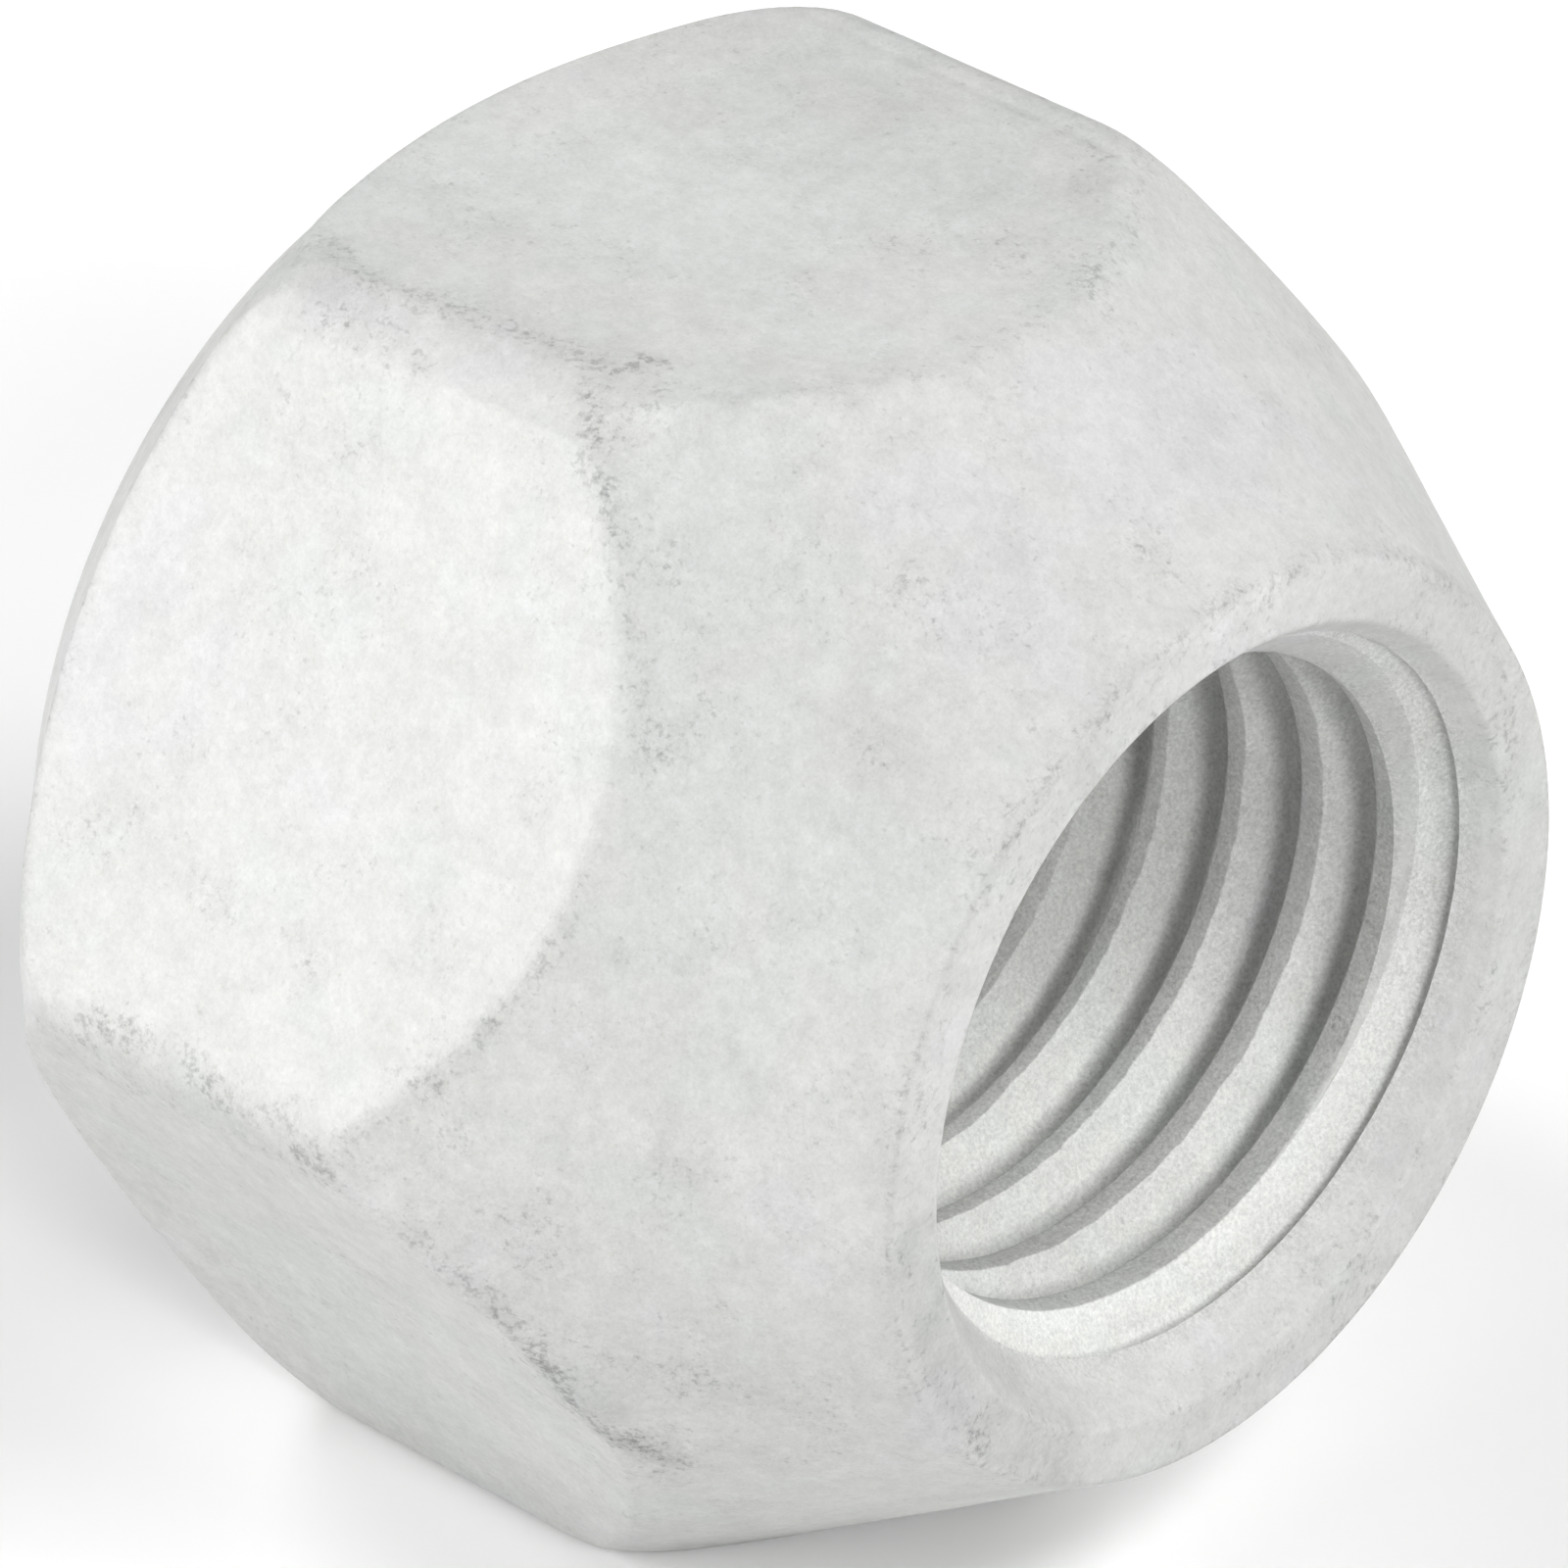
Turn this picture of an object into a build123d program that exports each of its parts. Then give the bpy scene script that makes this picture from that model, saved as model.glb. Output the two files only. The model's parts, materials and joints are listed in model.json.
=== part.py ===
from build123d import *
import os
from math import radians, tan

# Conical-seat wheel nut, open at both ends, lying on one of its wrench flats.
# X runs along the thread axis: the tapered seat end is at +X, the wrench end at -X.
# Z is up, the flat it lies on is in the plane Z = 0, and the origin is on that
# flat, midway between the two ends.  All dimensions in millimetres.

# ---- driving dimensions -------------------------------------------------
across_flats = 20.64          # 13/16 in hexagon
length = 16.5                 # overall, end face to end face
corner_radius = 11.72         # hexagon corners are turned down to this cylinder
seat_half_angle = 30.0        # 60 degree cone seat, measured from the axis
seat_face_radius = 7.51       # where the cone would meet the seat-end face
wrench_face_radius = 8.80     # flat face at the wrench end
wrench_chamfer_angle = 46.5   # measured from the axis
minor_radius = 5.37           # crest of the M12 x 1.5 internal thread
sink_half_angle = 35.0        # 70 degree countersinks at both ends
seat_sink_radius = 6.48       # countersink at the seat-end face
wrench_sink_radius = 6.48     # countersink at the wrench-end face

seat_shoulder_blend = 2.80    # cone to corner cylinder
wrench_shoulder_blend = 2.60  # corner cylinder to wrench-end chamfer
rim_blend = 0.18              # rounding of the narrow seat-end face
wrench_rim_blend = 0.20       # rounding round the wrench-end face
flat_edge_blend = 0.40        # softened outline of the six wrench flats
cold_edge = 0.12              # countersinks into the bore

# ---- derived positions --------------------------------------------------
axis_height = across_flats / 2
x_seat = length / 2
x_wrench = -length / 2
x_cone_end = x_seat - (corner_radius - seat_face_radius) / tan(radians(seat_half_angle))
x_chamfer_start = x_wrench + (corner_radius - wrench_face_radius) / tan(radians(wrench_chamfer_angle))
x_seat_sink_end = x_seat - (seat_sink_radius - minor_radius) / tan(radians(sink_half_angle))
x_wrench_sink_end = x_wrench + (wrench_sink_radius - minor_radius) / tan(radians(sink_half_angle))

section_plane = Plane(origin=(0, 0, axis_height), x_dir=(1, 0, 0), z_dir=(0, -1, 0))
hex_plane = Plane(origin=(x_wrench - 1, 0, axis_height), x_dir=(0, 1, 0), z_dir=(1, 0, 0))
thread_axis = Axis((0, 0, axis_height), (1, 0, 0))


with BuildPart() as lug_nut:
    # Turned section: bore, both countersinks, both end faces, seat cone,
    # corner cylinder and wrench-end chamfer, in one revolve.
    with BuildSketch(section_plane) as section:
        with BuildLine():
            Polyline(
                (x_seat_sink_end, minor_radius),
                (x_seat, seat_sink_radius),
                (x_seat, seat_face_radius),
                (x_cone_end, corner_radius),
                (x_chamfer_start, corner_radius),
                (x_wrench, wrench_face_radius),
                (x_wrench, wrench_sink_radius),
                (x_wrench_sink_end, minor_radius),
                close=True,
            )
        make_face()
        # Round the section's corners, each chosen by its place.
        for (x, r), blend in (
            ((x_cone_end, corner_radius), seat_shoulder_blend),
            ((x_chamfer_start, corner_radius), wrench_shoulder_blend),
            ((x_seat, seat_face_radius), rim_blend),
            ((x_seat, seat_sink_radius), rim_blend),
            ((x_wrench, wrench_face_radius), wrench_rim_blend),
            ((x_wrench, wrench_sink_radius), rim_blend),
            ((x_seat_sink_end, minor_radius), cold_edge),
            ((x_wrench_sink_end, minor_radius), cold_edge),
        ):
            fillet(section.vertices().sort_by_distance((x, r))[0], radius=blend)
    revolve(axis=thread_axis)

    # Hexagon: flats at the top and the bottom, corners at +Y and -Y.
    with BuildSketch(hex_plane):
        RegularPolygon(radius=across_flats / 2, side_count=6, major_radius=False, rotation=0)
    extrude(amount=length + 2, mode=Mode.INTERSECT)

    # Soften the outline of every wrench flat where it meets the cone, the
    # corner bands and the chamfer.
    wrench_flats = lug_nut.faces().filter_by(GeomType.PLANE).filter_by(
        lambda f: abs(f.normal_at().X) < 0.01
    )
    fillet(wrench_flats.edges(), radius=flat_edge_blend)

lug_nut.part.label = "lug_nut"
os.makedirs("parts", exist_ok=True)
export_step(lug_nut.part, "parts/lug_nut.step")
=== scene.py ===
import json
import math

import bpy
import numpy as np
from mathutils import Matrix, Vector


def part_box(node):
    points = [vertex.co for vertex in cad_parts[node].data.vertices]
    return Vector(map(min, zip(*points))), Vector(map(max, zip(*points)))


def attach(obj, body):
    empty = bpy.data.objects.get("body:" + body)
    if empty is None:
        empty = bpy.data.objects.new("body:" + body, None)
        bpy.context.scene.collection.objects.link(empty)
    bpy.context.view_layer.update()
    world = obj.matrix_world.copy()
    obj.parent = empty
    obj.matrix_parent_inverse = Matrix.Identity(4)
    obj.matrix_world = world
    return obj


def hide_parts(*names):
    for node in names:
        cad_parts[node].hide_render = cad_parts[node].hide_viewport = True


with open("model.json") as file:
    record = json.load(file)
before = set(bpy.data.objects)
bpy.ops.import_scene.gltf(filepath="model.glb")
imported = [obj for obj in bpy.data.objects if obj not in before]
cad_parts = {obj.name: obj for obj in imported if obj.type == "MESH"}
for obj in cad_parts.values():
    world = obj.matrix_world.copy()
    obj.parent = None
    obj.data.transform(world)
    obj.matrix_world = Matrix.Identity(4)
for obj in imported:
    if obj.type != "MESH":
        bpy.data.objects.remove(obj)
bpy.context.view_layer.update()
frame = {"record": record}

# Frame of the part: X along the thread axis with the conical seat end at +X,
# Z up from the flat that the nut lies on, Y across two opposite corners.
# Lengths below are in millimetres until the mesh is written in metres.
# s   = distance from the seat end face into the nut
# phi = angle about the thread axis, Y = r cos(phi), Z = axis height + r sin(phi)
MM = 0.001

node_lo, node_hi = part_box("lug_nut")
LENGTH = (node_hi.x - node_lo.x) / MM
X_SEAT = node_hi.x / MM
FLAT = (node_hi.z - node_lo.z) / MM / 2          # axis to wrench flat
AXIS_Z = node_lo.z / MM + FLAT
CORNER = (node_hi.y - node_lo.y) / MM / 2        # corners turned to this radius
bore = next(m for m in frame["record"]["mounts"] if m["name"] == "stud_thread")
CREST = bore["dims"]["r_mm"]                     # minor radius of the thread

SEAT_R = 7.51            # cone at the seat end face
TAN_SEAT = math.tan(math.radians(30.0))
WRENCH_R = 8.80          # chamfer at the wrench end face
TAN_WRENCH = math.tan(math.radians(46.5))
SEAT_SINK = 6.48         # 70 degree countersinks
WRENCH_SINK = 6.48
TAN_SINK = math.tan(math.radians(35.0))
SEAT_SHOULDER = 2.80     # blends of the turned section
WRENCH_SHOULDER = 2.60
TURNED = CORNER - 0.02   # cylinder that the corners are turned to
PITCH = 1.5
ROOT = 6.08              # groove bottom of the internal thread
FLANK = (ROOT - CREST) * math.tan(math.radians(30.0))
HELIX_AT_0 = 1.154       # s of the first land's far edge where phi = 150 degrees
OFF_Y, OFF_Z = 0.12, 0.02   # the tap ran a little off the nut's own axis


# ---------------------------------------------------------------- noise ----
_rs = np.random.RandomState(11)
_perm = _rs.permutation(256)
_grad = _rs.normal(size=(256, 3))
_grad /= np.linalg.norm(_grad, axis=1)[:, None]


def noise(p, wavelength, seed=0):
    """Smooth gradient noise, about -1..1, at points p (n, 3) in millimetres."""
    q = p / wavelength + 17.31 * (seed + 1)
    i = np.floor(q).astype(int)
    f = q - i
    u = f * f * f * (f * (f * 6 - 15) + 10)
    out = 0.0
    for dx in (0, 1):
        wx = u[:, 0] if dx else 1 - u[:, 0]
        for dy in (0, 1):
            wy = u[:, 1] if dy else 1 - u[:, 1]
            for dz in (0, 1):
                wz = u[:, 2] if dz else 1 - u[:, 2]
                h = _perm[(_perm[(_perm[(i[:, 0] + dx) & 255] + i[:, 1] + dy) & 255] + i[:, 2] + dz) & 255]
                g = _grad[h]
                d = g[:, 0] * (f[:, 0] - dx) + g[:, 1] * (f[:, 1] - dy) + g[:, 2] * (f[:, 2] - dz)
                out = out + wx * wy * wz * d
    return out * 1.6


def place(s, r, phi):
    """Points in the part's frame, millimetres."""
    return np.stack([X_SEAT - s + 0 * r * phi, r * np.cos(phi) + 0 * s, AXIS_Z + r * np.sin(phi) + 0 * s], -1)


# -------------------------------------------------------- outer surface ----
def turned(s):
    """Radius of the turned outline and its slope: cone, corner cylinder, chamfer."""
    s1 = (TURNED - SEAT_R) / TAN_SEAT
    s2 = LENGTH - (TURNED - WRENCH_R) / TAN_WRENCH
    lean = math.atan(TAN_WRENCH)
    t1 = SEAT_SHOULDER * math.tan(math.radians(15.0))
    t2 = WRENCH_SHOULDER * math.tan(lean / 2)
    r = np.full_like(s, TURNED)
    g = np.zeros_like(s)
    a = s < s1 - t1 * math.cos(math.radians(30.0))
    r[a] = SEAT_R + TAN_SEAT * s[a]
    g[a] = TAN_SEAT
    b = ~a & (s < s1 + t1)
    d = s[b] - (s1 + t1)
    r[b] = TURNED - SEAT_SHOULDER + np.sqrt(SEAT_SHOULDER ** 2 - d * d)
    g[b] = -d / np.sqrt(SEAT_SHOULDER ** 2 - d * d)
    c = s > s2 + t2 * math.cos(lean)
    r[c] = WRENCH_R + (LENGTH - s[c]) * TAN_WRENCH
    g[c] = -TAN_WRENCH
    e = ~c & (s > s2 - t2)
    d = s[e] - (s2 - t2)
    r[e] = TURNED - WRENCH_SHOULDER + np.sqrt(WRENCH_SHOULDER ** 2 - d * d)
    g[e] = -d / np.sqrt(WRENCH_SHOULDER ** 2 - d * d)
    return r, g


def smooth_min(a, b, k):
    return np.minimum(a, b) - np.maximum(k - np.abs(a - b), 0) ** 2 / (4 * k)


# Forged flats: each lies a little inside the nominal hexagon, by an amount that
# changes across it (degrees from the flat's middle line, millimetres inward).
FLAT_DEGREES = np.array([-30, -24, -18, -10, 0, 8, 14, 20, 25, 30.0])
FLAT_INWARD = np.array([
    [.10, .10, .10, .10, .10, .10, .10, .10, .10, .10],      # 30 degrees
    [.13, .17, .215, .24, .24, .225, .17, .12, .09, .08],    # 90, on top
    [.07, .07, .11, .12, .11, .13, .12, .08, .05, .04],      # 150
    [.03, .03, .06, .13, .17, .16, .14, .12, .10, .10],      # 210
    [.01, .00, .00, .00, .00, .00, .00, .00, .00, .01],      # 270, lies on the floor
    [.08, .10, .10, .10, .10, .10, .10, .10, .10, .10],      # 330
])
# Rounded band along each corner: how far it reaches to the lower and to the
# higher angle, and how much lower than the corner radius its crown is, against s.
BAND_S = np.array([5.0, 8.0, 10.0, 12.0, 13.0, 15.5])
BANDS = {
    0: ([.50] * 6, [.50] * 6, [.0] * 6),
    1: ([.50] * 6, [.52] * 6, [.0] * 6),
    2: ([.54, .60, .64, .52, .40, .36], [.46, .48, .54, .63, .70, .74], [.15, .15, .15, .14, .10, .04]),
    3: ([.46, .48, .50, .55, .56, .56], [.46, .48, .50, .52, .54, .54], [.03, .03, .03, .02, .0, .0]),
    4: ([.50] * 6, [.50] * 6, [.0] * 6),
    5: ([.50] * 6, [.50] * 6, [.0] * 6),
}


def flat_radius(k, phi, s):
    """Radius of flat k (its middle at 30 + 60 k degrees) at the angles phi. The one on top rises to the wrench end."""
    q = (phi - math.radians(30.0 + 60.0 * k) + math.pi) % (2 * math.pi) - math.pi
    inward = np.interp(np.degrees(q), FLAT_DEGREES, FLAT_INWARD[k])
    if k == 1:
        inward = inward * (1 - 0.45 * np.clip((s - 6.0) / 9.0, 0, 1))
    return np.where(np.abs(q) < math.radians(75.0), (FLAT - inward) / np.cos(np.clip(q, -1.35, 1.35)), 99.0)


def hexagon(phi, s):
    """Radius of the hexagon with its rounded corner bands."""
    phi, s = np.broadcast_arrays(phi, s)
    flats = np.full(phi.shape, 99.0)
    for k in range(6):
        flats = np.minimum(flats, flat_radius(k, phi, s))
    out = flats
    for j, (down, up, drop) in BANDS.items():
        corner = math.radians(60.0 * j)
        delta = (phi - corner + math.pi) % (2 * math.pi) - math.pi
        u = delta * CORNER
        w_down, w_up = np.interp(s, BAND_S, down), np.interp(s, BAND_S, up)
        crown = CORNER - np.interp(s, BAND_S, drop)
        r_down = flat_radius((j - 1) % 6, corner - w_down / CORNER, s)
        r_up = flat_radius(j % 6, corner + w_up / CORNER, s)
        w = np.where(u < 0, w_down, w_up)
        r_edge = np.where(u < 0, r_down, r_up)
        band = crown - (crown - r_edge) * (u / w) ** 2
        band = np.where(np.abs(u) < 1.15 * w, band, 99.0)
        near = np.abs(u) < 1.15 * w
        out = np.where(near, smooth_min(out, np.where(near, band, 99.0), 0.025), out)
    return out


def on_band(phi, s, j, soft=0.07):
    """1 on the rounded band of corner j, 0 off it."""
    down, up, drop = BANDS[j]
    u = ((phi - math.radians(60.0 * j) + math.pi) % (2 * math.pi) - math.pi) * CORNER
    w = np.where(u < 0, np.interp(s, BAND_S, down), np.interp(s, BAND_S, up))
    return np.clip((w - np.abs(u)) / soft + 0.5, 0, 1)


def off_round(s, phi):
    """The cone runs slightly out of true on the side away from 142 degrees."""
    c = np.cos(phi - math.radians(322.3))
    w = np.clip((c + 0.3) / 0.6, 0, 1)
    w = w * w * (3 - 2 * w)
    fade = np.clip((11.0 - s) / 3.0, 0, 1)
    return w * (-0.175 + 0.267 * c + 0.0204 * s) * fade


def sector_angles():
    """Columns of one 60 degree sector, from corner to corner, denser at the flat's two side edges."""
    inner = np.linspace(-24.9, 24.9, 37)
    side = np.array([25.6, 26.2, 26.7, 27.1, 27.5, 27.9, 28.4, 29.0, 29.5])
    return np.concatenate([[-30.0], -side[::-1], inner, side])


Q1 = sector_angles()
PHI = np.radians(np.concatenate([30.0 + 60.0 * k + Q1 for k in range(6)]))
N = len(PHI)
PHI_DEG = np.degrees(PHI)


def rounded(points, radii, steps):
    """Polyline in (s, r) with its inner corners rounded, as a list of points."""
    out = [np.array(points[0], float)]
    for k in range(1, len(points) - 1):
        p, a, b = (np.array(points[i], float) for i in (k, k - 1, k + 1))
        u = (a - p) / np.linalg.norm(a - p)
        v = (b - p) / np.linalg.norm(b - p)
        ang = math.acos(np.clip(u @ v, -1, 1))
        if radii[k] <= 0:
            out.append(p)
            continue
        t = radii[k] / math.tan(ang / 2)
        c = p + (u + v) / np.linalg.norm(u + v) * radii[k] / math.sin(ang / 2)
        p0, p1 = p + u * t, p + v * t
        a0 = math.atan2(*(p0 - c)[::-1])
        a1 = math.atan2(*(p1 - c)[::-1])
        da = (a1 - a0 + math.pi) % (2 * math.pi) - math.pi
        for i in range(steps[k] + 1):
            a_ = a0 + da * i / steps[k]
            out.append(c + radii[k] * np.array([math.cos(a_), math.sin(a_)]))
    out.append(np.array(points[-1], float))
    return out


def fill(p, q, n):
    """n points strictly between p and q."""
    return [p + (q - p) * (i + 1) / (n + 1) for i in range(n)]


S_OPEN = 0.37                      # the bore's own mesh starts here ...
S_CLOSE = LENGTH - 0.33            # ... and ends here
RIM = 0.18
front = rounded(
    [(S_OPEN, SEAT_SINK - S_OPEN * TAN_SINK), (0, SEAT_SINK), (0, SEAT_R), (1.2, SEAT_R + 1.2 * TAN_SEAT)],
    [0, RIM, RIM, 0], [0, 3, 4, 0],
)
front = [front[0]] + fill(front[0], front[1], 2) + front[1:5] + fill(front[4], front[5], 3) + front[5:10]
back = rounded(
    [(LENGTH - 0.4, WRENCH_R + 0.4 * TAN_WRENCH), (LENGTH, WRENCH_R), (LENGTH, WRENCH_SINK), (S_CLOSE, WRENCH_SINK - (LENGTH - S_CLOSE) * TAN_SINK)],
    [0, 0.20, RIM, 0], [0, 4, 3, 0],
)
back = back[1:6] + fill(back[5], back[6], 7) + back[6:10] + [back[10]]

s_a, s_b = front[-1][0], back[0][0]
z1 = (np.minimum(hexagon(PHI, 6.0), CORNER) - SEAT_R - off_round(5.5, PHI)) / TAN_SEAT          # cone meets flat
z2 = LENGTH - (np.minimum(hexagon(PHI, 15.0), CORNER) - WRENCH_R) / TAN_WRENCH  # flat meets chamfer
W1, W2 = 0.30, 0.20


def spread(n, bias=0.0):
    t = (np.arange(n) + 1) / (n + 1)
    return t + bias * t * (1 - t)


rows = []
for t in spread(23, 0.25):
    rows.append(s_a + (z1 - W1 - s_a) * t)
for t in (-1, -0.6, -0.25, 0.0, 0.25, 0.6, 1):
    rows.append(z1 + W1 * t)
for t in spread(35):
    rows.append(z1 + W1 + (z2 - W2 - z1 - W1) * t)
for t in (-1, -0.6, -0.25, 0.0, 0.25, 0.6, 1):
    rows.append(z2 + W2 * t)
for t in spread(4):
    rows.append(z2 + W2 + (s_b - z2 - W2) * t)
rows = np.array(rows)                                # (rows, columns)


def outer_radius(s, phi):
    """Radius of the outer surface and the distance along it to the nearest outline edge of a flat."""
    r_t, g = turned(s)
    r_t = r_t + off_round(s, phi)
    # the chamfer bellies out a little where it climbs the corners
    belly = np.clip((LENGTH - s - 1.2) / 1.1, 0, 1)
    belly = 0.14 * belly * belly * (3 - 2 * belly) * (0.5 + 0.5 * np.cos(phi - math.radians(150.0))) ** 2
    r_t = np.where(s > 9.0, smooth_min(r_t + belly, np.full_like(r_t, TURNED + 0.02), 0.06), r_t)
    q = phi % (math.pi / 3) - math.pi / 6
    r_h = hexagon(phi, s)
    diff = r_t - r_h
    k = 0.10 - 0.05 * np.clip((s - 9.0) / 3, 0, 1)
    low = smooth_min(r_t, r_h, k)
    dist = diff / np.sqrt(g * g + np.tan(q) ** 2 + 1e-4)
    return low, dist


grid_s = [np.full(N, p[0]) for p in front] + list(rows) + [np.full(N, p[0]) for p in back]
grid_r, grid_edge = [], []
for i, s in enumerate(grid_s):
    if i < len(front):
        outward = np.clip((front[i][1] - 6.8) / 0.5, 0, 1)
        grid_r.append(front[i][1] + outward * off_round(s, PHI))
        grid_edge.append(np.full(N, -3.0))
    elif i >= len(front) + len(rows):
        grid_r.append(np.full(N, back[i - len(front) - len(rows)][1]))
        grid_edge.append(np.full(N, -3.0))
    else:
        r, d = outer_radius(s, PHI)
        grid_r.append(r)
        grid_edge.append(d)
grid_s, grid_r, grid_edge = np.array(grid_s), np.array(grid_r), np.array(grid_edge)
OUT = len(grid_s)
verts = [place(grid_s, grid_r, PHI[None, :]).reshape(-1, 3)]
edge_attr = [grid_edge.reshape(-1)]
faces = []
ids = np.arange(OUT * N).reshape(OUT, N)
for i in range(OUT - 1):
    for j in range(N):
        k = (j + 1) % N
        faces.append((ids[i + 1, j], ids[i + 1, k], ids[i, k], ids[i, j]))

# ------------------------------------------------------------- the bore ----
theta = 150.0 + 360.0 - PHI_DEG                      # falls as phi rises
far_edge = HELIX_AT_0 + PITCH * theta / 360.0        # far edge of a land
ecc = OFF_Y * np.cos(PHI) + OFF_Z * np.sin(PHI)      # what the tap's offset adds to a radius


def sink_front(s):
    return SEAT_SINK - s * TAN_SINK


def sink_back(s):
    return WRENCH_SINK - (LENGTH - s) * TAN_SINK


def land_width(s):
    """Width of the crest, which the countersink's pressing widened near the mouth."""
    return np.clip(0.49 - 0.055 * (s - 1.8), 0.27, 0.60) + 0.04 * np.cos(PHI + math.radians(27.0))


def settle(t, lo=0.06, hi=0.97, home=0.38):
    """Keeps a row on the edge where flank and countersink cross, and lets it drift home elsewhere."""
    out = np.clip(t, lo, hi)
    out = np.where(t < lo, lo + (home - lo) * np.clip((lo - t) / 0.25, 0, 1), out)
    return np.where(t > hi, hi + (home - hi) * np.clip((t - hi) / 0.25, 0, 1), out)


def crossing(edge_s, side):
    """Fraction from crest to root at which a flank meets a countersink. side +1 runs deeper, -1 runs to the mouth."""
    slope = (ROOT - CREST) / FLANK * side
    # radius on the flank: CREST + ecc + slope * (s - edge_s)
    s_f = (SEAT_SINK - CREST - ecc + slope * edge_s) / (slope + TAN_SINK)
    s_k = (WRENCH_SINK - LENGTH * TAN_SINK - CREST - ecc + slope * edge_s) / (slope - TAN_SINK)
    t_f = side * (s_f - edge_s) / FLANK
    t_k = side * (s_k - edge_s) / FLANK
    return np.where(edge_s < LENGTH / 2, t_f, t_k)


meet_f = (SEAT_SINK - CREST - ecc) / TAN_SINK        # s where countersink and crest meet
meet_b = LENGTH - (WRENCH_SINK - CREST - ecc) / TAN_SINK
turns = range(-4, 12)
S_rows, R_rows, tags, W_rows, L_rows = [], [], [], [], []
# painted light and shade across one turn: the flank that faces the mouth is painted lighter, the crest darker
PAINTED_TURN_LIGHT = [-0.4, 0, 0, 0, 0, 0, 0.1, 0.5, 1, 1, 1, 1, 0.9, -0.3, -0.4, -0.4]
for n in turns:
    e0 = far_edge + PITCH * n                        # far edge of the land
    land = land_width(e0 + PITCH)
    e1 = e0 + PITCH - land                           # near edge of the next land
    where_e1 = place(e1, np.full(N, CREST), PHI)
    ragged = np.clip((e1 - 1.6) / 1.5, 0.3, 1.0)     # the tap tore the deeper turns more
    e1 = e1 + ragged * (0.040 * noise(where_e1, 0.55, 3) + 0.030 * noise(where_e1, 0.26, 4))
    tx = settle(crossing(e0, +1))
    ty = settle(crossing(e1, -1))
    rise = ROOT - CREST
    root_w = e1 - e0 - 2 * FLANK
    cut_f = ((SEAT_SINK - ROOT - ecc) / TAN_SINK - (e0 + FLANK)) / root_w
    cut_b = (LENGTH - (WRENCH_SINK - ROOT - ecc) / TAN_SINK - (e0 + FLANK)) / root_w
    tm = settle(np.where(e0 < LENGTH / 2, cut_f, cut_b), 0.08, 0.92, 0.5)
    e2 = e0 + PITCH                                  # far edge of the next land
    tl = settle((np.where(e2 < LENGTH / 2, meet_f, meet_b) - e1 - 0.03) / (e2 - e1 - 0.06), 0.08, 0.92, 0.5)
    table = [
        (e0, CREST + 0.006, "far"),
        (e0 + 0.045 * FLANK, CREST + 0.045 * rise, ""),
        (e0 + tx * FLANK, CREST + tx * rise, "x"),
        (e0 + (tx + (1 - tx) * 0.45) * FLANK, CREST + (tx + (1 - tx) * 0.45) * rise, ""),
        (e0 + (tx + (1 - tx) * 0.80) * FLANK, CREST + (tx + (1 - tx) * 0.80) * rise, ""),
        (e0 + FLANK * 1.02, ROOT - 0.022, ""),
        (e0 + FLANK + tm * root_w, ROOT, "m"),
        (e1 - FLANK * 1.02, ROOT - 0.022, ""),
        (e1 - (ty + (1 - ty) * 0.80) * FLANK, CREST + (ty + (1 - ty) * 0.80) * rise, ""),
        (e1 - (ty + (1 - ty) * 0.45) * FLANK, CREST + (ty + (1 - ty) * 0.45) * rise, ""),
        (e1 - ty * FLANK, CREST + ty * rise, "y"),
        (e1 - 0.045 * FLANK, CREST + 0.045 * rise, ""),
        (e1, CREST + 0.006, "near"),
        (e1 + 0.03, CREST, ""),
        (e1 + 0.03 + tl * (e2 - e1 - 0.06), CREST, "l"),
        (e2 - 0.03, CREST, ""),
    ]
    for (s, r, tag), light in zip(table, PAINTED_TURN_LIGHT):
        L_rows.append(np.full(N, light))
        S_rows.append(s)
        R_rows.append(np.broadcast_to(r, (N,)) + ecc)
        W_rows.append(s - e0)
        tags.append(tag)
M = len(table)
S_rows, R_rows, W_rows = np.array(S_rows), np.array(R_rows), np.array(W_rows)
cone = np.maximum(sink_front(S_rows), sink_back(S_rows))
on_cone = cone > R_rows + 1e-6
R_all = np.maximum(R_rows, cone)
low = S_rows < S_OPEN + 0.03
high = S_rows > S_CLOSE - 0.03
base = OUT * N
bore_id = np.full(S_rows.shape, -1)
free = ~low & ~high
bore_id[free] = base + np.arange(free.sum())
bore_id[low] = np.broadcast_to(ids[0], S_rows.shape)[low]
bore_id[high] = np.broadcast_to(ids[-1], S_rows.shape)[high]
phi_all = np.broadcast_to(PHI, S_rows.shape)
verts.append(place(S_rows[free], R_all[free], phi_all[free]))
edge_attr.append(np.full(free.sum(), -3.0))
depth = np.zeros(OUT * N + free.sum())
depth[base:] = np.where(on_cone[free], 0.0, ((R_rows - ecc)[free] - CREST) / (ROOT - CREST))
thread = np.zeros(len(depth))
thread[base:] = np.where(on_cone[free], 0.0, 1.0)
across = np.zeros(len(depth))
across[base:] = W_rows[free]
# painted light: the lit flanks are made lighter mostly low in the bore, where light from above falls; the crests are
# painted darker everywhere
painted_flank_light = np.zeros(len(depth))
low_side = np.clip((AXIS_Z - 0.6 - place(S_rows[free], R_all[free], phi_all[free])[:, 2]) / 4.0, 0, 1)
painted_flank_light[base:] = np.where(np.array(L_rows)[free] > 0, np.array(L_rows)[free] * (0.04 + 0.96 * low_side), np.array(L_rows)[free])
painted_flank_light[base:] *= np.where(on_cone[free], 0.0, 1.0)
inside = np.zeros(len(depth))
inside[base:] = 1.0
inside[ids[0]] = inside[ids[-1]] = 1.0
sharp_rows = {i for i, t in enumerate(tags) if t in ("x", "y", "m", "l")}
sharp = set()
K = len(S_rows)
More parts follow.
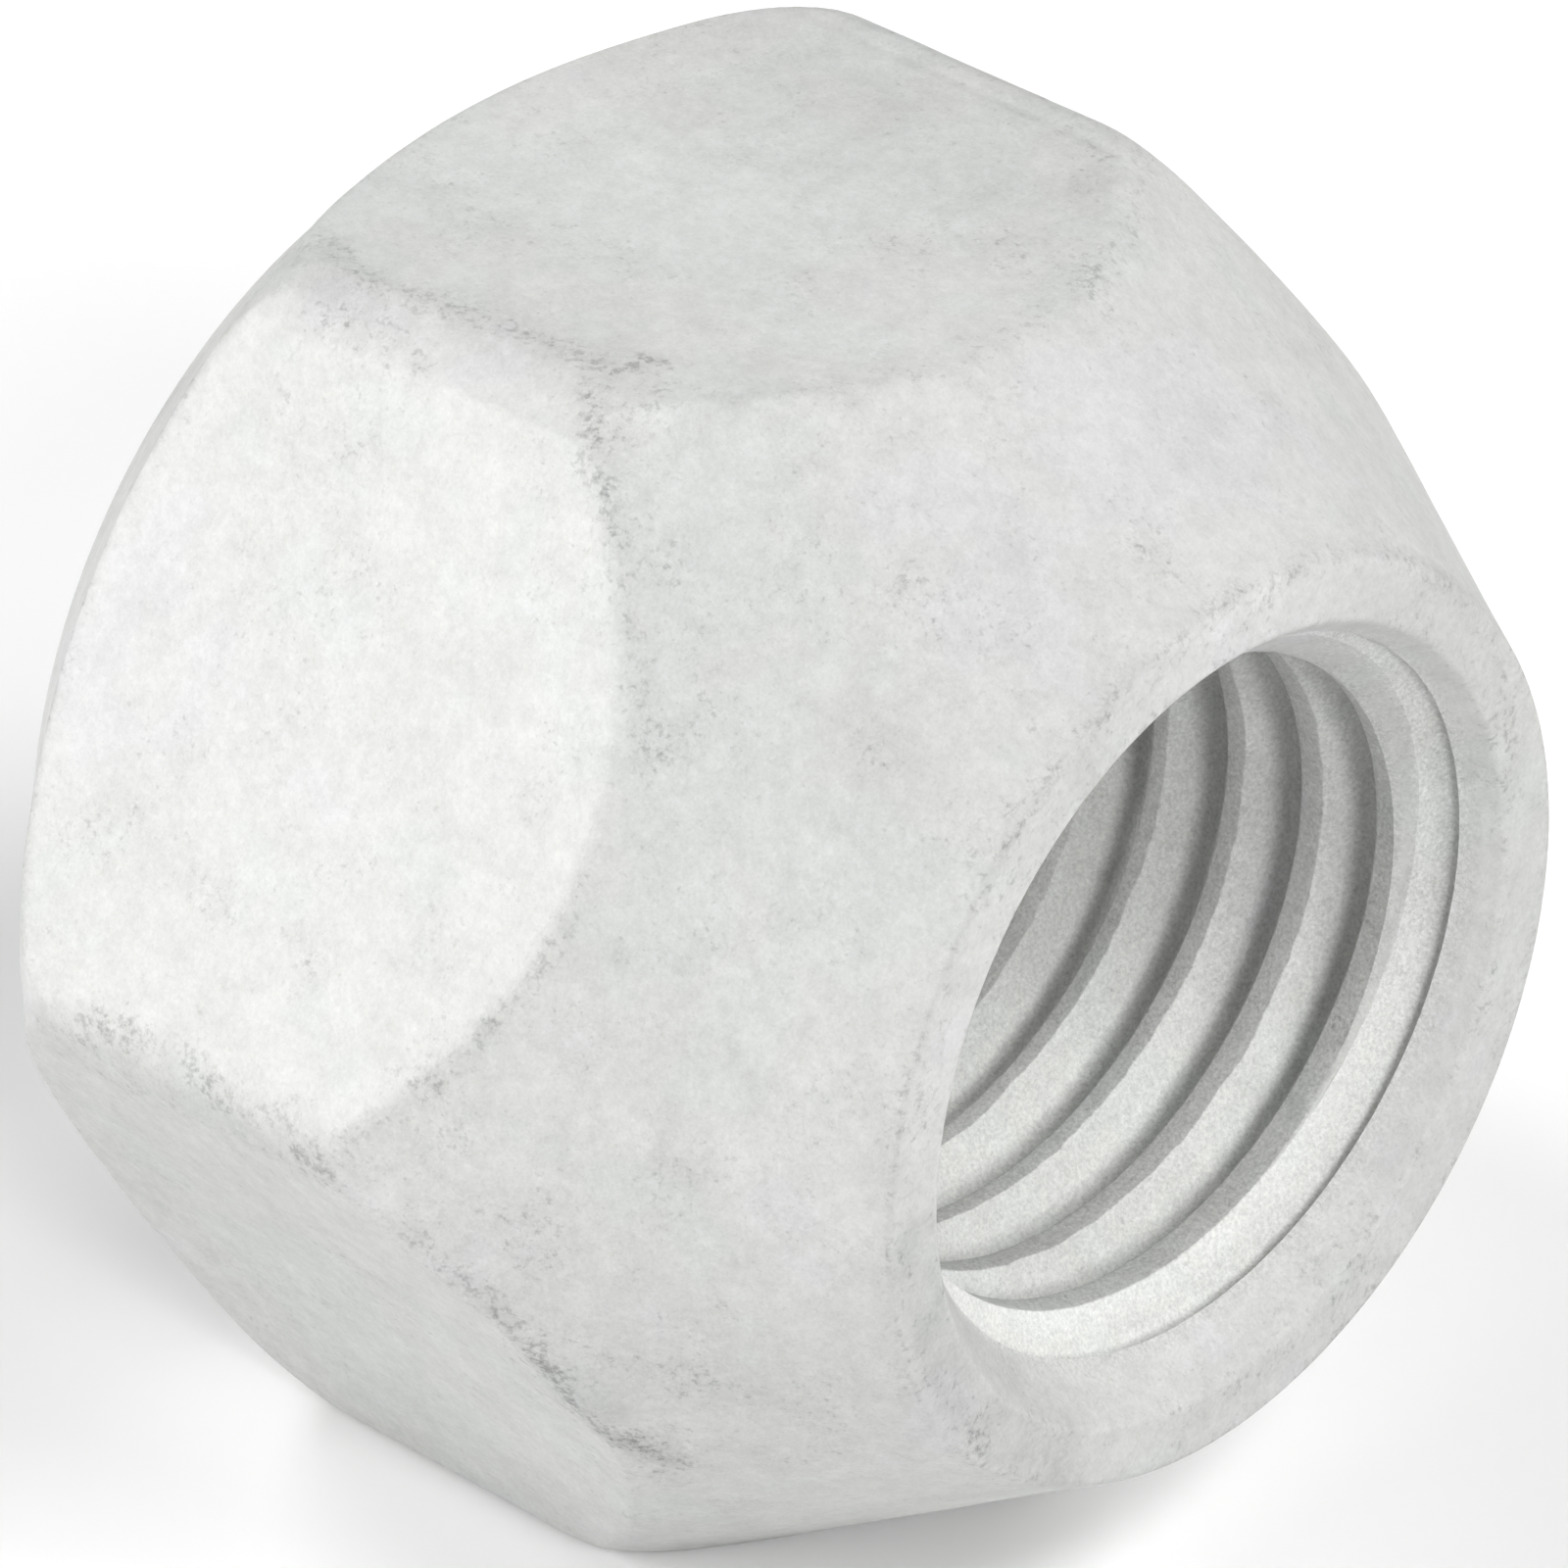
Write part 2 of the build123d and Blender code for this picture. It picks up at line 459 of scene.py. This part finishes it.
for i in range(K - 1):
    for j in range(N):
        if j < N - 1:
            quad = (bore_id[i, j], bore_id[i, j + 1], bore_id[i + 1, j + 1], bore_id[i + 1, j])
        else:
            if i - M < 0:
                continue
            quad = (bore_id[i, j], bore_id[i - M, 0], bore_id[i - M + 1, 0], bore_id[i + 1, j])
        q = []
        for v in quad:
            if v not in q:
                q.append(v)
        if len(q) < 3 or all(v < base for v in q):
            continue
        faces.append(tuple(q))
        if i in sharp_rows and quad[0] >= base and quad[1] >= base:
            i2, j2 = (i, j + 1) if j < N - 1 else (i - M, 0)
            a, b = S_rows[i, j], S_rows[i2, j2]
            # marked where the countersink really crosses here
            ra = abs(cone[i, j] - R_rows[i, j])
            rb = abs(cone[i2, j2] - R_rows[i2, j2])
            if ra < 0.02 and rb < 0.02:
                sharp.add((min(quad[0], quad[1]), max(quad[0], quad[1])))

co = np.concatenate(verts)
edge_attr = np.concatenate(edge_attr)

mesh = bpy.data.meshes.new("lug_nut_body")
mesh.from_pydata((co * MM).tolist(), [], [tuple(int(v) for v in f) for f in faces])
mesh.validate()
mesh.update()
nut = bpy.data.objects.new("lug_nut_body", mesh)
bpy.context.scene.collection.objects.link(nut)
mesh.polygons.foreach_set("use_smooth", [True] * len(mesh.polygons))

# Forging unevenness, always inward on the outside so that the nut stays in its box.
co_mm = co
normal = np.zeros(len(co) * 3)
mesh.vertices.foreach_get("normal", normal)
normal = normal.reshape(-1, 3)
outside = inside < 0.5
soft = 0.5 + 0.5 * noise(co_mm, 3.1, 0)
fine = 0.5 + 0.5 * noise(co_mm, 1.1, 1)
move = np.where(outside, 0.030 * np.clip(soft, 0, 1) + 0.012 * np.clip(fine, 0, 1), 0.006 * noise(co_mm, 0.5, 2))
fade = np.clip((LENGTH / 2 - np.abs(co_mm[:, 0])) / 1.0, 0.15, 1.0)
move = np.where(outside, move * fade, move)
co_mm = co_mm - normal * move[:, None]
mesh.vertices.foreach_set("co", (co_mm * MM).reshape(-1))
mesh.update()


def attribute(name, values):
    a = mesh.attributes.new(name, "FLOAT", "POINT")
    a.data.foreach_set("value", np.asarray(values, np.float32))


# Marks on the coating, listed one by one: strength, half width and points, millimetres.
# MARKS and RIM_MARKS are worn, speckled lines and patches; the pale marks are lighter, or darker where the strength is
# negative, and the two on top of the seat face's rim are a painted highlight.
MARKS = [
    (1.00, 0.22, [(-6.21, -4.94, 20.00), (-5.30, -4.96, 20.53), (-4.26, -5.36, 20.54), (-3.23, -5.21, 20.54), (-2.31, -5.13, 20.53), (-1.48, -4.95, 20.53), (-0.70, -4.83, 20.53), (0.17, -4.82, 20.53), (0.55, -4.14, 20.51)]),
    (0.75, 0.20, [(-4.36, -6.12, 20.15), (-3.61, -5.75, 20.45), (-2.94, -5.97, 20.31), (-2.32, -6.12, 20.16)]),
    (0.80, 0.14, [(-6.76, -6.34, 18.53), (-6.06, -6.39, 19.27), (-5.68, -6.21, 19.68)]),
    (0.95, 0.20, [(0.43, -5.51, 20.52), (1.05, -6.05, 20.17), (0.99, -6.31, 19.85), (1.54, -6.38, 19.68)]),
    (0.65, 0.22, [(1.74, -6.49, 19.48), (2.49, -6.89, 18.65), (3.03, -7.15, 17.99), (3.36, -7.56, 17.32), (3.80, -7.72, 16.75), (3.71, -7.99, 16.50)]),
    (0.65, 0.22, [(3.51, -9.02, 15.05), (3.46, -9.35, 14.44), (3.41, -9.63, 13.88), (2.89, -10.25, 12.84), (2.24, -10.81, 11.97), (1.58, -11.28, 11.25), (0.96, -11.58, 10.57)]),
    (0.80, 0.24, [(-4.56, -11.61, 9.98), (-3.87, -11.65, 10.60), (-2.29, -11.58, 10.75), (-1.16, -11.66, 10.38), (-0.10, -11.63, 10.63), (0.31, -11.65, 10.18), (1.43, -11.41, 10.39)]),
    (0.60, 0.18, [(-5.04, -11.38, 9.48), (-3.58, -11.37, 9.46), (-2.04, -11.46, 9.64), (-0.46, -11.60, 9.90), (0.71, -11.56, 9.81)]),
    (1.05, 0.24, [(2.12, -10.96, 9.15), (2.68, -10.52, 8.42), (3.09, -10.13, 7.71), (3.38, -9.61, 6.70), (3.46, -9.07, 5.75), (3.99, -8.58, 5.31), (4.48, -7.83, 4.68)]),
    (0.40, 0.20, [(1.10, -4.73, 20.53), (2.09, -3.95, 20.51), (2.58, -3.01, 20.46), (3.17, -2.18, 20.43), (3.65, -1.22, 20.38), (3.84, -0.36, 20.34)]),
    (0.80, 0.22, [(1.17, 5.76, 20.28), (2.14, 4.76, 20.24), (2.91, 3.54, 20.27), (3.19, 2.56, 20.37), (3.67, 1.75, 20.30)]),
    (0.55, 0.35, [(0.28, 5.53, 20.42), (1.91, 4.18, 20.39)]),
    (0.45, 0.30, [(3.78, -0.29, 20.36), (3.55, 1.71, 20.36)]),
    (0.45, 0.45, [(-0.74, 5.45, 20.41)]),
    (0.50, 0.40, [(0.43, -0.84, 20.38)]),
    (0.40, 0.40, [(1.87, 1.63, 20.38)]),
    (0.40, 0.30, [(-2.89, 1.42, 20.38)]),
    (0.35, 0.30, [(-5.91, -0.11, 20.38)]),
    (0.40, 0.50, [(0.91, 0.74, 20.38)]),
    (0.50, 0.40, [(-5.16, -2.71, 20.44), (-3.49, -3.07, 20.47)]),
    (0.55, 0.45, [(6.99, -0.87, 18.49)]),
    (0.45, 0.40, [(5.81, -2.33, 18.91)]),
    (0.50, 0.50, [(5.31, -3.89, 18.64)]),
    (0.45, 0.30, [(6.84, -3.30, 17.93)]),
    (0.40, 0.40, [(6.26, -5.55, 16.93)]),
    (0.45, 0.35, [(3.96, -7.43, 16.94)]),
    (0.40, 0.35, [(4.86, -6.74, 16.92)]),
    (0.40, 0.40, [(2.89, -6.38, 18.75)]),
    (0.40, 0.40, [(3.50, -6.61, 18.11)]),
    (0.75, 0.30, [(-5.32, -10.34, 12.82), (-4.78, -10.15, 13.13)]),
    (0.45, 0.35, [(-2.64, -9.00, 15.10)]),
    (0.35, 0.40, [(0.60, -9.07, 14.98)]),
    (0.50, 0.40, [(1.00, -9.81, 13.67), (1.71, -9.94, 13.44)]),
    (0.45, 0.30, [(-0.61, -10.51, 12.53)]),
    (0.40, 0.30, [(-3.11, -10.17, 13.08), (-2.24, -10.44, 12.64)]),
    (0.40, 0.30, [(-2.84, -7.11, 18.42), (-2.33, -7.54, 17.64)]),
    (0.50, 0.50, [(4.53, -9.14, 7.27), (5.85, -8.01, 6.52)]),
    (0.45, 0.40, [(4.25, -7.79, 4.40)]),
    (0.75, 0.30, [(8.25, -6.58, 7.46), (8.25, -6.03, 6.47), (8.25, -5.47, 5.51)]),
    (0.40, 0.40, [(5.78, -7.08, 4.91)]),
    (0.45, 0.40, [(3.69, -10.10, 9.89), (3.76, -9.98, 8.99)]),
    (0.45, 0.40, [(2.17, -10.97, 11.16), (1.83, -11.01, 11.72)]),
    (0.40, 0.22, [(5.89, 1.47, 19.04), (5.49, 3.73, 18.59), (6.14, 3.65, 18.21)]),
    (0.40, 0.30, [(3.22, 7.72, 17.24), (4.09, 6.78, 17.45)]),
]
RIM_MARKS = [
    (0.55, 0.13, [(8.06, 3.11, 17.26), (8.20, 1.81, 17.62), (8.25, 0.76, 17.63), (8.25, -0.55, 17.54), (8.25, -2.48, 17.24), (8.25, -3.75, 16.65), (8.23, -4.99, 15.89), (8.25, -5.84, 14.79), (8.25, -6.56, 13.45), (8.25, -7.07, 12.01), (8.25, -7.30, 10.42), (8.25, -7.14, 8.96), (8.25, -6.59, 7.63), (8.25, -5.81, 6.36)]),
    (0.45, 0.10, [(8.25, -2.47, 16.82), (8.25, -4.06, 15.96), (8.25, -5.21, 15.08), (8.25, -6.14, 13.75), (8.25, -6.75, 12.19), (8.25, -6.94, 10.58)]),
    (0.75, 0.16, [(8.10, 2.83, 17.36), (8.20, 4.22, 16.47), (8.21, 5.35, 15.43), (8.25, 6.13, 13.90), (8.25, 6.52, 12.33), (8.19, 6.43, 10.77)]),
    (0.50, 0.14, [(8.24, 3.98, 15.53), (8.25, 5.42, 14.21), (8.23, 6.04, 12.71), (8.11, 6.33, 11.13)]),
    (0.50, 0.16, [(8.25, 6.71, 9.78), (8.24, 5.90, 7.48), (8.19, 5.01, 6.26)]),
    (0.65, 0.16, [(8.25, 3.59, 4.36), (8.25, 1.30, 3.57), (8.25, -0.65, 3.70), (8.25, -0.97, 3.10)]),
    (0.45, 0.12, [(7.96, 3.09, 4.84), (7.97, 1.83, 4.30), (7.88, -0.58, 4.13)]),
    (1.00, 0.06, [(8.25, -0.19, 17.37), (8.25, 0.44, 17.44), (8.25, 0.99, 17.58)]),
    (0.80, 0.07, [(8.09, 1.38, 17.79), (8.08, 1.96, 17.67)]),
    (0.95, 0.09, [(3.56, -8.76, 5.25), (3.89, -8.37, 4.85), (4.16, -8.02, 4.62)]),
]
PALE_AND_HIGHLIGHT = [
    # painted highlight on top of the seat face's rim
    (0.90, 0.16, [(8.25, -1.09, 17.53), (8.25, -0.07, 17.63), (8.24, 0.88, 17.71)]),
    (0.80, 0.22, [(1.68, -11.27, 9.80)]),
    (0.70, 0.12, [(1.37, -5.47, 20.37), (1.70, -4.78, 20.51)]),
    (0.35, 0.50, [(4.81, -9.39, 11.59), (6.21, -8.61, 11.16)]),
    (-0.50, 0.80, [(6.36, -5.56, 16.85)]),
    (-0.35, 0.60, [(5.05, -9.24, 11.63), (5.84, -8.84, 11.10)]),
    (-1.30, 0.14, [(3.53, -8.94, 5.54), (3.89, -8.48, 5.03), (4.35, -7.90, 4.65)]),
    # painted highlight on top of the seat face's rim
    (0.65, 0.13, [(8.23, -1.53, 17.64), (8.25, -0.33, 17.64), (8.24, 0.85, 17.72)]),
    (-1.00, 0.35, [(-5.50, -5.58, 20.44), (-4.70, -5.67, 20.45)]),
    (-0.50, 0.50, [(3.75, -9.16, 6.11), (2.96, -9.18, 5.93)]),
]

LILAC = [
    (1.00, 1.70, [(4.85, -1.90, 19.57), (6.59, 1.56, 18.61)]),
    (0.90, 1.00, [(-6.78, -8.36, 16.20), (-5.88, -9.76, 13.78)]),
    (0.80, 0.70, [(-4.32, -9.00, 15.11), (-3.14, -11.33, 11.20)]),
    (0.90, 0.50, [(-4.53, -5.95, 20.26), (-1.11, -5.55, 20.43)]),
    (0.60, 0.80, [(4.69, 7.26, 16.45)]),
    (0.70, 0.90, [(7.18, -2.79, 17.93)]),
    (-0.90, 1.60, [(2.95, -5.29, 19.45), (5.49, -7.62, 15.26)]),
    (-0.90, 2.60, [(-4.72, -2.21, 20.49), (-0.91, 2.31, 20.43)]),
    (-0.80, 1.80, [(-3.90, -8.72, 5.16), (-1.68, -7.40, 2.81)]),
    (-0.50, 1.00, [(2.05, -1.80, 20.41), (2.23, -6.60, 19.07)]),
]


def near(marks):
    """Soft weight of every vertex for the marks, largest one kept."""
    out = np.zeros(len(co_mm))
    for strength, width, points in marks:
        p = np.array(points)
        if len(p) == 1:
            p = np.concatenate([p, p + 0.001])
        best = np.full(len(co_mm), 99.0)
        for a, b in zip(p[:-1], p[1:]):
            ab = b - a
            h = np.clip((co_mm - a) @ ab / (ab @ ab), 0, 1)
            best = np.minimum(best, np.linalg.norm(co_mm - a - h[:, None] * ab, axis=1))
        w = strength * np.exp(-(best / (1.35 * width)) ** 2)
        out = np.where(np.abs(w) > np.abs(out), w, out)
    return out


radius = np.hypot(co_mm[:, 1], co_mm[:, 2] - AXIS_Z)
from_rim = np.hypot(co_mm[:, 0] - X_SEAT, radius - SEAT_R)
from_sink = np.hypot(co_mm[:, 0] - X_SEAT, radius - SEAT_SINK)
outline = np.maximum(np.exp(-(edge_attr / 0.16) ** 2), 0.9 * np.exp(-(from_rim / 0.15) ** 2))
outline = np.maximum(outline, 0.6 * np.exp(-(from_sink / 0.15) ** 2))
angle = np.arctan2(co_mm[:, 2] - AXIS_Z, co_mm[:, 1]) % (2 * math.pi)
depth_in = X_SEAT - co_mm[:, 0]
past_cone = np.clip((depth_in - (radius - SEAT_R) / TAN_SEAT - 0.15) / 0.15, 0, 1)
before_chamfer = np.clip((LENGTH - depth_in - (radius - WRENCH_R) / TAN_WRENCH) / 0.12, 0, 1)
# painted shade: the rounded corner bands at 120 and 180 degrees are darkened to a shaded tone
painted_band_shade = sum(k * on_band(angle, depth_in, j) for j, k in ((2, 1.0), (3, 0.45))) * past_cone * before_chamfer
attribute("edge", np.where(inside > 0.5, 0.0, outline))
worn_all = np.maximum(np.maximum(near(MARKS), near(RIM_MARKS)), 0.55 * np.exp(-(from_rim / 0.15) ** 2))
worn_all = np.maximum(worn_all, 0.42 * np.exp(-(from_sink / 0.15) ** 2))
worn_all = np.maximum(worn_all, np.where(outside, 0.22 * np.exp(-(edge_attr / 0.16) ** 2), 0.0))
attribute("worn", np.where(thread > 0.5, 0.0, np.clip(worn_all, 0, 1.2)))
attribute("band", np.where(outside, painted_band_shade, 0.0))

# painted light and shade: the coating is made lighter or darker over the nut, by face and by angle, where the lamps
# light a side more or less
degrees = np.degrees(angle)


def around(pairs):
    """Smooth table of angle (degrees) to shift, closed at 360."""
    a, v = np.array(pairs, float).T
    return np.interp(degrees, np.concatenate([a - 360, a, a + 360]), np.tile(v, 3))


face_on = np.clip((0.16 - depth_in) / 0.10, 0, 1) * np.clip((radius - SEAT_SINK - 0.02) / 0.10, 0, 1)
cone_on = (1 - past_cone) * (1 - face_on) * outside
flat_on = past_cone * before_chamfer * outside * np.clip((co_mm[:, 0] + 8.15) / 0.3, 0, 1)
painted_light_and_shade = cone_on * around([(0, -.01), (30, .0), (60, .03), (90, .04), (112, -.03), (130, -.065), (150, -.07), (175, -.06), (200, -.11), (230, -.08), (265, -.08), (310, -.04)])
painted_light_and_shade += face_on * around([(0, -.055), (20, -.055), (40, -.06), (60, -.045), (80, -.02), (100, -.06), (120, -.05), (160, -.03), (185, -.10), (205, -.12), (225, -.09), (242, -.08), (262, -.06), (300, -.06)])
painted_light_and_shade += flat_on * around([(0, .0), (60, -.05), (70, -.05), (84, .03), (95, .05), (110, .03), (119, .0), (121, .035), (179, .035), (181, -.09), (225, -.10), (239, -.13), (245, .0), (359, .0)])
painted_light_and_shade += (1 - before_chamfer) * outside * around([(0, .0), (120, .0), (128, -.10), (190, -.10), (200, -.05), (250, .0)])
# painted light and shade in the countersinks, lighter or darker by angle
in_sink = (inside > 0.5) & (thread < 0.5) & (co_mm[:, 0] > 0)
painted_light_and_shade = np.where(in_sink & (face_on < 0.01), around([(0, -.07), (60, -.03), (120, -.05), (200, -.12), (225, -.12), (245, -.03), (257, .02), (300, .03), (330, -.035), (345, -.08)]), painted_light_and_shade)
attribute("painted_light_and_shade", painted_light_and_shade)
attribute("pale", near(PALE_AND_HIGHLIGHT))
attribute("lilac", near(LILAC))
attribute("bore", inside)
attribute("thread", thread)
attribute("painted_thread_light", painted_flank_light)

pairs = np.zeros(len(mesh.edges) * 2, int)
mesh.edges.foreach_get("vertices", pairs)
flags = [(min(a, b), max(a, b)) in sharp for a, b in pairs.reshape(-1, 2).tolist()]
mark = mesh.attributes.new("sharp_edge", "BOOLEAN", "EDGE")
mark.data.foreach_set("value", flags)


# ------------------------------------------------------------- material ----
def node(tree, kind, where=(0, 0), **values):
    n = tree.nodes.new(kind)
    n.location = where
    for key, value in values.items():
        if key in n.inputs:
            n.inputs[key].default_value = value
        else:
            setattr(n, key, value)
    return n


coat = bpy.data.materials.new("zinc_flake_coating")
coat.use_nodes = True
nt = coat.node_tree
nt.nodes.clear()
out = node(nt, "ShaderNodeOutputMaterial", (1600, 0))
bsdf = node(nt, "ShaderNodeBsdfPrincipled", (1300, 0))
bsdf.inputs["Roughness"].default_value = 0.60
bsdf.inputs["Metallic"].default_value = 0.0
bsdf.inputs["Specular IOR Level"].default_value = 0.4
coords = node(nt, "ShaderNodeTexCoord", (-1600, 0))
in_mm = node(nt, "ShaderNodeMapping", (-1400, 0))
in_mm.inputs["Scale"].default_value = (1000.0, 1000.0, 1000.0)
nt.links.new(coords.outputs["Object"], in_mm.inputs["Vector"])


def field(scale, detail, roughness):
    """Noise with features about 1 / scale millimetres, 0..1 about 0.5."""
    n = node(nt, "ShaderNodeTexNoise", (-1000, 0))
    n.noise_dimensions = "3D"
    n.inputs["Scale"].default_value = scale
    n.inputs["Detail"].default_value = detail
    n.inputs["Roughness"].default_value = roughness
    nt.links.new(in_mm.outputs[0], n.inputs["Vector"])
    return n.outputs["Fac"]


def calc(op, a, b=0.0, c=None):
    n = node(nt, "ShaderNodeMath", (-400, 0))
    n.operation = op
    for k, v in enumerate((a, b, c)):
        if v is None:
            continue
        if isinstance(v, (int, float)):
            n.inputs[k].default_value = v
        else:
            nt.links.new(v, n.inputs[k])
    return n.outputs[0]


def remap(v, lo, hi, to_lo=0.0, to_hi=1.0):
    n = node(nt, "ShaderNodeMapRange", (-200, 0))
    n.interpolation_type = "SMOOTHSTEP"
    for key, value in (("From Min", lo), ("From Max", hi), ("To Min", to_lo), ("To Max", to_hi)):
        n.inputs[key].default_value = value
    nt.links.new(v, n.inputs["Value"])
    return n.outputs["Result"]


def painted(name):
    n = node(nt, "ShaderNodeAttribute", (-1000, -600))
    n.attribute_type = "GEOMETRY"
    n.attribute_name = name
    return n.outputs["Fac"]


worn, pale, edge, in_thread, in_bore, lilac, band, painted_thread_light, painted_shift = (
    painted(k) for k in ("worn", "pale", "edge", "thread", "bore", "lilac", "band", "painted_thread_light", "painted_light_and_shade"))
mottle = field(1.3, 5.0, 1.0)
cloud = field(0.31, 1.5, 0.5)
clump = remap(field(0.68, 2.5, 0.6), 0.44, 0.63)
grit = field(7.0, 2.5, 0.72)
fine = field(15.0, 2.0, 0.75)
vein = field(1.73, 3.0, 0.60)
tint = calc("MULTIPLY_ADD", lilac, 0.22, field(0.43, 2.0, 0.6))

# dark specks: few on the open faces, more in clumps, many along worn edges
push = calc("MULTIPLY_ADD", worn, 0.15, calc("MULTIPLY_ADD", clump, 0.05, calc("MULTIPLY", edge, 0.02)))
speck = remap(calc("ADD", grit, push), 0.60, 0.84)
strength = calc("MULTIPLY_ADD", worn, 0.09, calc("MULTIPLY_ADD", clump, 0.08, 0.17))
lines = calc("SUBTRACT", 1.0, remap(calc("ABSOLUTE", calc("SUBTRACT", vein, 0.5)), 0.0, 0.025))
crackle = calc("MULTIPLY", lines, calc("MULTIPLY_ADD", worn, 0.06, calc("MULTIPLY", clump, 0.05)))
tone = calc("MULTIPLY_ADD", calc("SUBTRACT", mottle, 0.5), 0.62, 1.0)
tone = calc("MULTIPLY_ADD", calc("SUBTRACT", cloud, 0.5), 0.08, tone)
# pale and dark patches of the coating, and the painted highlight on the seat face's rim
tone = calc("MULTIPLY_ADD", pale, 0.12, tone)
tone = calc("MULTIPLY_ADD", worn, -0.05, tone)
# painted shade on the rounded corner bands
tone = calc("MULTIPLY_ADD", band, -0.05, tone)
# painted light and shade, lighter or darker by face and by angle
tone = calc("ADD", tone, painted_shift)
# painted light and shade in the thread: lit flanks lighter, crests darker
tone = calc("MULTIPLY_ADD", painted_thread_light, 0.27, tone)
tone = calc("SUBTRACT", tone, calc("MULTIPLY", speck, strength))
tone = calc("SUBTRACT", tone, crackle)
grain = calc("MULTIPLY_ADD", in_thread, 0.55, calc("MULTIPLY_ADD", in_bore, 0.20, 0.14))
tone = calc("MULTIPLY_ADD", calc("SUBTRACT", fine, 0.5), grain, tone)

shade = node(nt, "ShaderNodeValToRGB", (900, 300))
ramp = shade.color_ramp
ramp.elements[0].position, ramp.elements[0].color = 0.34, (0.554, 0.567, 0.556, 1)
ramp.elements[1].position, ramp.elements[1].color = 0.76, (0.565, 0.564, 0.568, 1)
middle = ramp.elements.new(0.50)
middle.color = (0.5625, 0.566, 0.549, 1)
nt.links.new(tint, shade.inputs["Fac"])
paint = node(nt, "ShaderNodeVectorMath", (1100, 300))
paint.operation = "SCALE"
nt.links.new(shade.outputs["Color"], paint.inputs[0])
nt.links.new(tone, paint.inputs["Scale"])
nt.links.new(paint.outputs[0], bsdf.inputs["Base Color"])

# the same fields as relief: pits under the specks, sandy grain, more of it in the thread
sandy = calc("MULTIPLY_ADD", in_thread, 1.8, calc("MULTIPLY_ADD", in_bore, 0.8, 0.35))
height = calc("MULTIPLY_ADD", fine, sandy, calc("MULTIPLY", mottle, 0.8))
height = calc("SUBTRACT", height, calc("MULTIPLY", speck, 0.45))
bump = node(nt, "ShaderNodeBump", (1100, -300))
bump.inputs["Strength"].default_value = 1.0
bump.inputs["Distance"].default_value = 0.000006
nt.links.new(height, bump.inputs["Height"])
nt.links.new(bump.outputs[0], bsdf.inputs["Normal"])
nt.links.new(bsdf.outputs[0], out.inputs[0])
mesh.materials.append(coat)

# --------------------------------------------------- floor, light, camera ----
floor_mesh = bpy.data.meshes.new("floor")
e = 0.55
floor_mesh.from_pydata([(-e, -e, 0), (e, -e, 0), (e, e, 0), (-e, e, 0)], [], [(0, 1, 2, 3)])
floor = bpy.data.objects.new("floor", floor_mesh)
bpy.context.scene.collection.objects.link(floor)
pale = bpy.data.materials.new("pale_floor")
pale.use_nodes = True
pb = pale.node_tree.nodes["Principled BSDF"]
pb.inputs["Base Color"].default_value = (0.95, 0.95, 0.95, 1)
pb.inputs["Roughness"].default_value = 0.9
pb.inputs["Specular IOR Level"].default_value = 0.0
floor_mesh.materials.append(pale)

world = bpy.data.worlds.new("studio")
bpy.context.scene.world = world
world.use_nodes = True
world.node_tree.nodes["Background"].inputs["Color"].default_value = (1.0, 1.0, 1.0, 1)
world.node_tree.nodes["Background"].inputs["Strength"].default_value = 1.0
# a pale surround behind the floor's edge, which lights nothing
for ray in ("diffuse", "glossy", "transmission", "scatter"):
    setattr(world.cycles_visibility, ray, False)


def softbox(name, azimuth, elevation, distance, size, watts, aim=(0, 0, 0.010)):
    light = bpy.data.lights.new(name, "AREA")
    light.shape = "DISK"
    light.size = size
    light.energy = watts
    o = bpy.data.objects.new(name, light)
    az, el = math.radians(azimuth), math.radians(elevation)
    o.location = Vector((math.cos(el) * math.sin(az), -math.cos(el) * math.cos(az), math.sin(el))) * distance + Vector(aim)
    o.rotation_euler = (Vector(aim) - o.location).to_track_quat("-Z", "Y").to_euler()
    bpy.context.scene.collection.objects.link(o)
    return o


VIEW = 42.6                      # azimuth that the camera looks from
for name, azimuth, elevation, watts in (
    ("key_front", VIEW + 20, 30, 2.95),
    ("key_high", VIEW + 60, 52, 1.78),
    ("key_high_front", VIEW + 40, 52, 1.22),
    ("left", VIEW - 80, 30, 2.24),
    ("left_low", VIEW - 80, 10, 2.18),
    ("back_left", VIEW - 120, 52, 1.70),
    ("back_right", VIEW + 120, 30, 1.88),
    ("back_left_low", VIEW - 120, 10, 0.35),
    ("back_low", VIEW + 160, 10, 0.28),
    ("front_fill", VIEW, 30, 0.20),
):
    softbox(name, azimuth, elevation, 0.8, 0.25, watts)

cam_data = bpy.data.cameras.new("camera")
cam_data.sensor_width = 36.0
cam_data.lens = 257.918
cam_data.clip_start = 0.01
cam_data.clip_end = 20.0
cam = bpy.data.objects.new("camera", cam_data)
right = Vector((0.73566474, 0.67734334, 0.00184193))
back_dir = Vector((0.57439921, -0.62529336, 0.52827433)).normalized()
up = back_dir.cross(right).normalized()
right = up.cross(back_dir).normalized()
place_cam = Matrix.Identity(4)
for c, v in enumerate((right, up, back_dir)):
    for r_ in range(3):
        place_cam[r_][c] = v[r_]
place_cam.translation = Vector((98.168239, -107.696819, 101.792663)) * MM
cam.matrix_world = place_cam
bpy.context.scene.collection.objects.link(cam)
bpy.context.scene.camera = cam
bpy.context.scene.view_settings.view_transform = "Standard"

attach(nut, "root")
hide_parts("lug_nut")

print("triangles", sum(len(p.vertices) - 2 for p in mesh.polygons))
